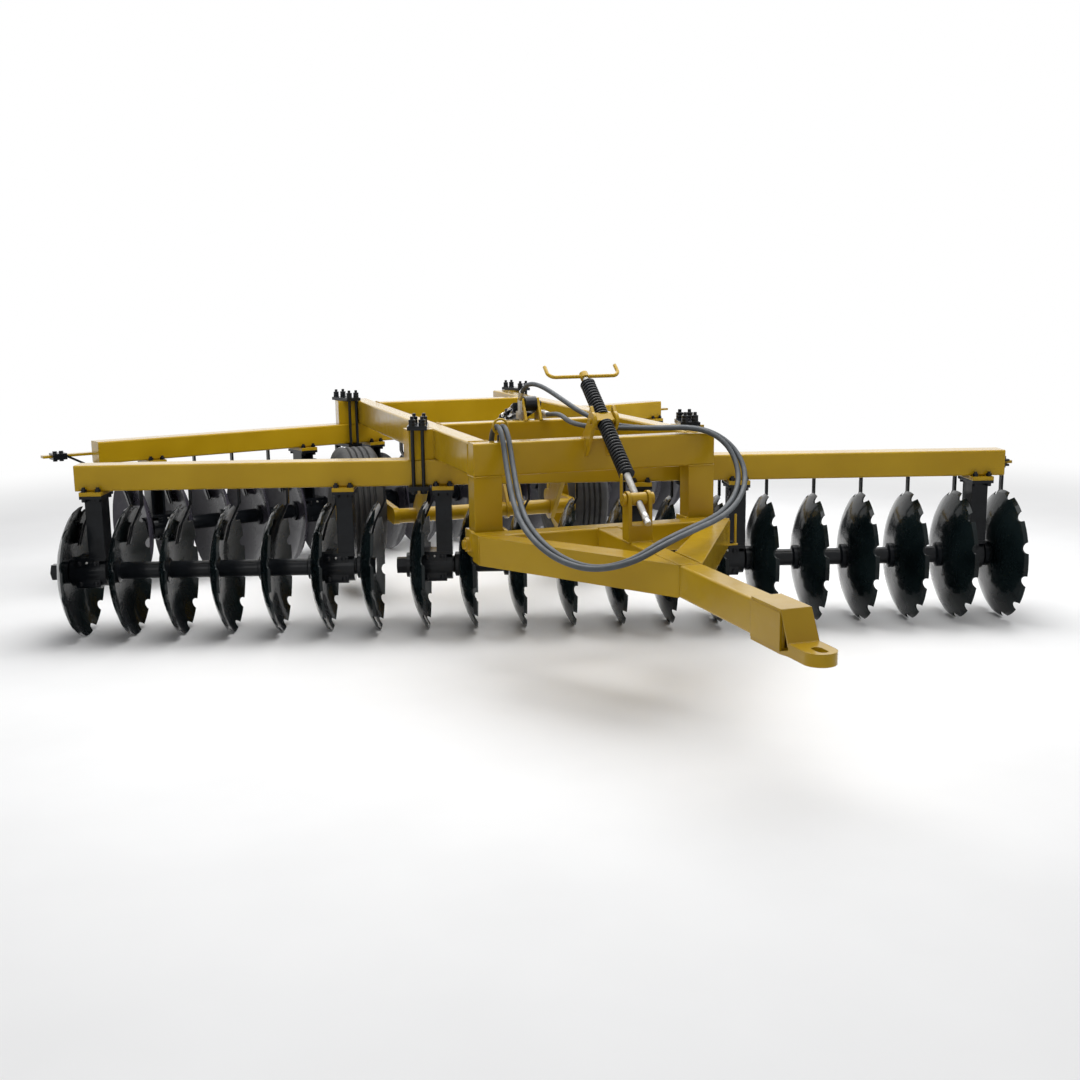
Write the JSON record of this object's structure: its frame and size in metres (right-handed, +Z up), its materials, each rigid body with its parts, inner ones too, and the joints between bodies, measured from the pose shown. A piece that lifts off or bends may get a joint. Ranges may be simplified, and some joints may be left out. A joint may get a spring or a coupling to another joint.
{
  "type": "towed offset disc harrow",
  "caption": "Towed offset disc harrow: notched front and plain rear disc gangs in a V under a box frame, A-frame drawbar with sprung levelling screw and hydraulic transport wheels.",
  "frame": {"origin": "middle of the footprint on the floor that the discs stand on", "axes": "+Z up, +Y to the rear of the machine away from the hitch, +X to the right seen from the hitch"},
  "size_m": [4.5507, 5.6907, 1.2504],
  "materials": {
    "yellow_paint": "glossy enamel over welded tube",
    "black_paint": "glossy black enamel",
    "disc_black": "glossy black enamel on pressed steel",
    "disc_grey": "thin dark grey-violet paint on pressed steel",
    "steel": "bare machined steel",
    "chrome": "plated tube",
    "tyre": "ribbed rubber",
    "hose_rubber": "smooth hydraulic hose"
  },
  "bodies": {
    "frame": {"axle_brackets": "yellow_paint", "clamp_bolts": "black_paint", "clamp_plates": "black_paint", "clamp_posts": "yellow_paint", "couplers": "steel", "cylinder_ears": "yellow_paint", "drawbar_leg_left": "yellow_paint", "drawbar_leg_right": "yellow_paint", "front_cross_beam": "yellow_paint", "front_gang_beam": "yellow_paint", "front_hangers": "black_paint", "front_scrapers": "black_paint", "hanger_caps": "yellow_paint", "hose_1": "hose_rubber", "hose_2": "hose_rubber", "hose_ring": "yellow_paint", "middle_cross_beam": "yellow_paint", "rail_left": "yellow_paint", "rail_right": "yellow_paint", "rear_cross_beam": "yellow_paint", "rear_gang_beam": "yellow_paint", "rear_hangers": "black_paint", "rear_scrapers": "black_paint", "scraper_bars": "yellow_paint", "screw_ears": "yellow_paint"},
    "front_gang_left": {"front_discs_left": "disc_black", "front_spools_left": "black_paint"},
    "front_gang_middle": {"front_discs_middle": "disc_black", "front_spools_middle": "black_paint"},
    "front_gang_right": {"front_discs_right": "disc_black", "front_spools_right": "black_paint"},
    "rear_gang_left": {"rear_discs_left": "disc_grey", "rear_spools_left": "black_paint"},
    "rear_gang_middle": {"rear_discs_middle": "disc_grey", "rear_spools_middle": "black_paint"},
    "rear_gang_right": {"rear_discs_right": "disc_grey", "rear_spools_right": "black_paint"},
    "drawbar": {"drawbar_arm_left": "yellow_paint", "drawbar_arm_right": "yellow_paint", "drawbar_cross_tube": "yellow_paint", "drawbar_hinge_ears": "yellow_paint", "drawbar_spine": "yellow_paint", "hitch_cheeks": "yellow_paint", "hitch_plates": "yellow_paint", "screw_fork": "yellow_paint", "tongue": "yellow_paint"},
    "levelling_screw": {"levelling_screw": "steel", "screw_springs": "black_paint", "screw_trunnion": "yellow_paint", "screw_crank": "yellow_paint"},
    "screw_nut": {"screw_nut": "yellow_paint"},
    "wheel_axle": {"rock_shaft": "yellow_paint", "wheel_arms": "yellow_paint", "lift_lever": "yellow_paint"},
    "wheel_left": {"tyre_left": "tyre", "rim_left": "yellow_paint"},
    "wheel_right": {"tyre_right": "tyre", "rim_right": "yellow_paint"},
    "cylinder_barrel": {"cylinder_barrel": "black_paint"},
    "cylinder_rod": {"cylinder_rod": "steel"}
  },
  "joints": [
    {"name": "front_gang_left_spin", "type": "hinge", "parent": "frame", "child": "front_gang_left", "pos_m": [-1.4641, 0.05847, 0.305], "axis": [0.9613, -0.2756, 0], "continuous": true},
    {"name": "front_gang_middle_spin", "type": "hinge", "parent": "frame", "child": "front_gang_middle", "pos_m": [-0.02701, -0.35361, 0.305], "axis": [0.9613, -0.2756, 0], "continuous": true},
    {"name": "front_gang_right_spin", "type": "hinge", "parent": "frame", "child": "front_gang_right", "pos_m": [1.41008, -0.76569, 0.305], "axis": [0.9613, -0.2756, 0], "continuous": true},
    {"name": "rear_gang_right_spin", "type": "hinge", "parent": "frame", "child": "rear_gang_right", "pos_m": [1.40823, 2.40217, 0.305], "axis": [-0.9511, -0.309, 0], "continuous": true},
    {"name": "rear_gang_middle_spin", "type": "hinge", "parent": "frame", "child": "rear_gang_middle", "pos_m": [0.09578, 1.97572, 0.305], "axis": [-0.9511, -0.309, 0], "continuous": true},
    {"name": "rear_gang_left_spin", "type": "hinge", "parent": "frame", "child": "rear_gang_left", "pos_m": [-1.21668, 1.54928, 0.305], "axis": [-0.9511, -0.309, 0], "continuous": true},
    {"name": "drawbar_hinge", "type": "hinge", "parent": "frame", "child": "drawbar", "pos_m": [0.072, -0.917, 0.525], "axis": [1, 0, 0], "range_deg": [-4, 12]},
    {"name": "screw_tilt", "type": "hinge", "parent": "frame", "child": "levelling_screw", "pos_m": [0.072, -1.034, 1.03], "axis": [1, 0, 0], "range_deg": [-2.64, 6.93]},
    {"name": "nut_tilt", "type": "hinge", "parent": "drawbar", "child": "screw_nut", "pos_m": [0.072, -1.402, 0.752], "axis": [1, 0, 0], "range_deg": [-6.07, 2.36]},
    {"name": "axle_lift", "type": "hinge", "parent": "frame", "child": "wheel_axle", "pos_m": [-0.068, 0.328, 0.455], "axis": [1, 0, 0], "range_deg": [-55, 0]},
    {"name": "wheel_left_spin", "type": "hinge", "parent": "wheel_axle", "child": "wheel_left", "pos_m": [-0.68, 0.688, 0.455], "axis": [1, 0, 0], "continuous": true},
    {"name": "wheel_right_spin", "type": "hinge", "parent": "wheel_axle", "child": "wheel_right", "pos_m": [0.544, 0.688, 0.455], "axis": [1, 0, 0], "continuous": true},
    {"name": "cylinder_tilt", "type": "hinge", "parent": "frame", "child": "cylinder_barrel", "pos_m": [0.087, 0.023, 1.026], "axis": [1, 0, 0], "range_deg": [-18.98, 0.5]},
    {"name": "cylinder_stroke", "type": "slide", "parent": "cylinder_barrel", "child": "cylinder_rod", "axis": [0, 0.9537, -0.3007], "range_m": [-0.001, 0.3655]}
  ],
  "couplings": [
    {"joint": "screw_tilt", "follows": "drawbar_hinge", "ratio": 0.5361},
    {"joint": "nut_tilt", "follows": "drawbar_hinge", "ratio": -0.4639},
    {"joint": "cylinder_tilt", "follows": "axle_lift", "ratio": 0.336},
    {"joint": "cylinder_stroke", "follows": "axle_lift", "m_per_rad": -0.37761}
  ]
}
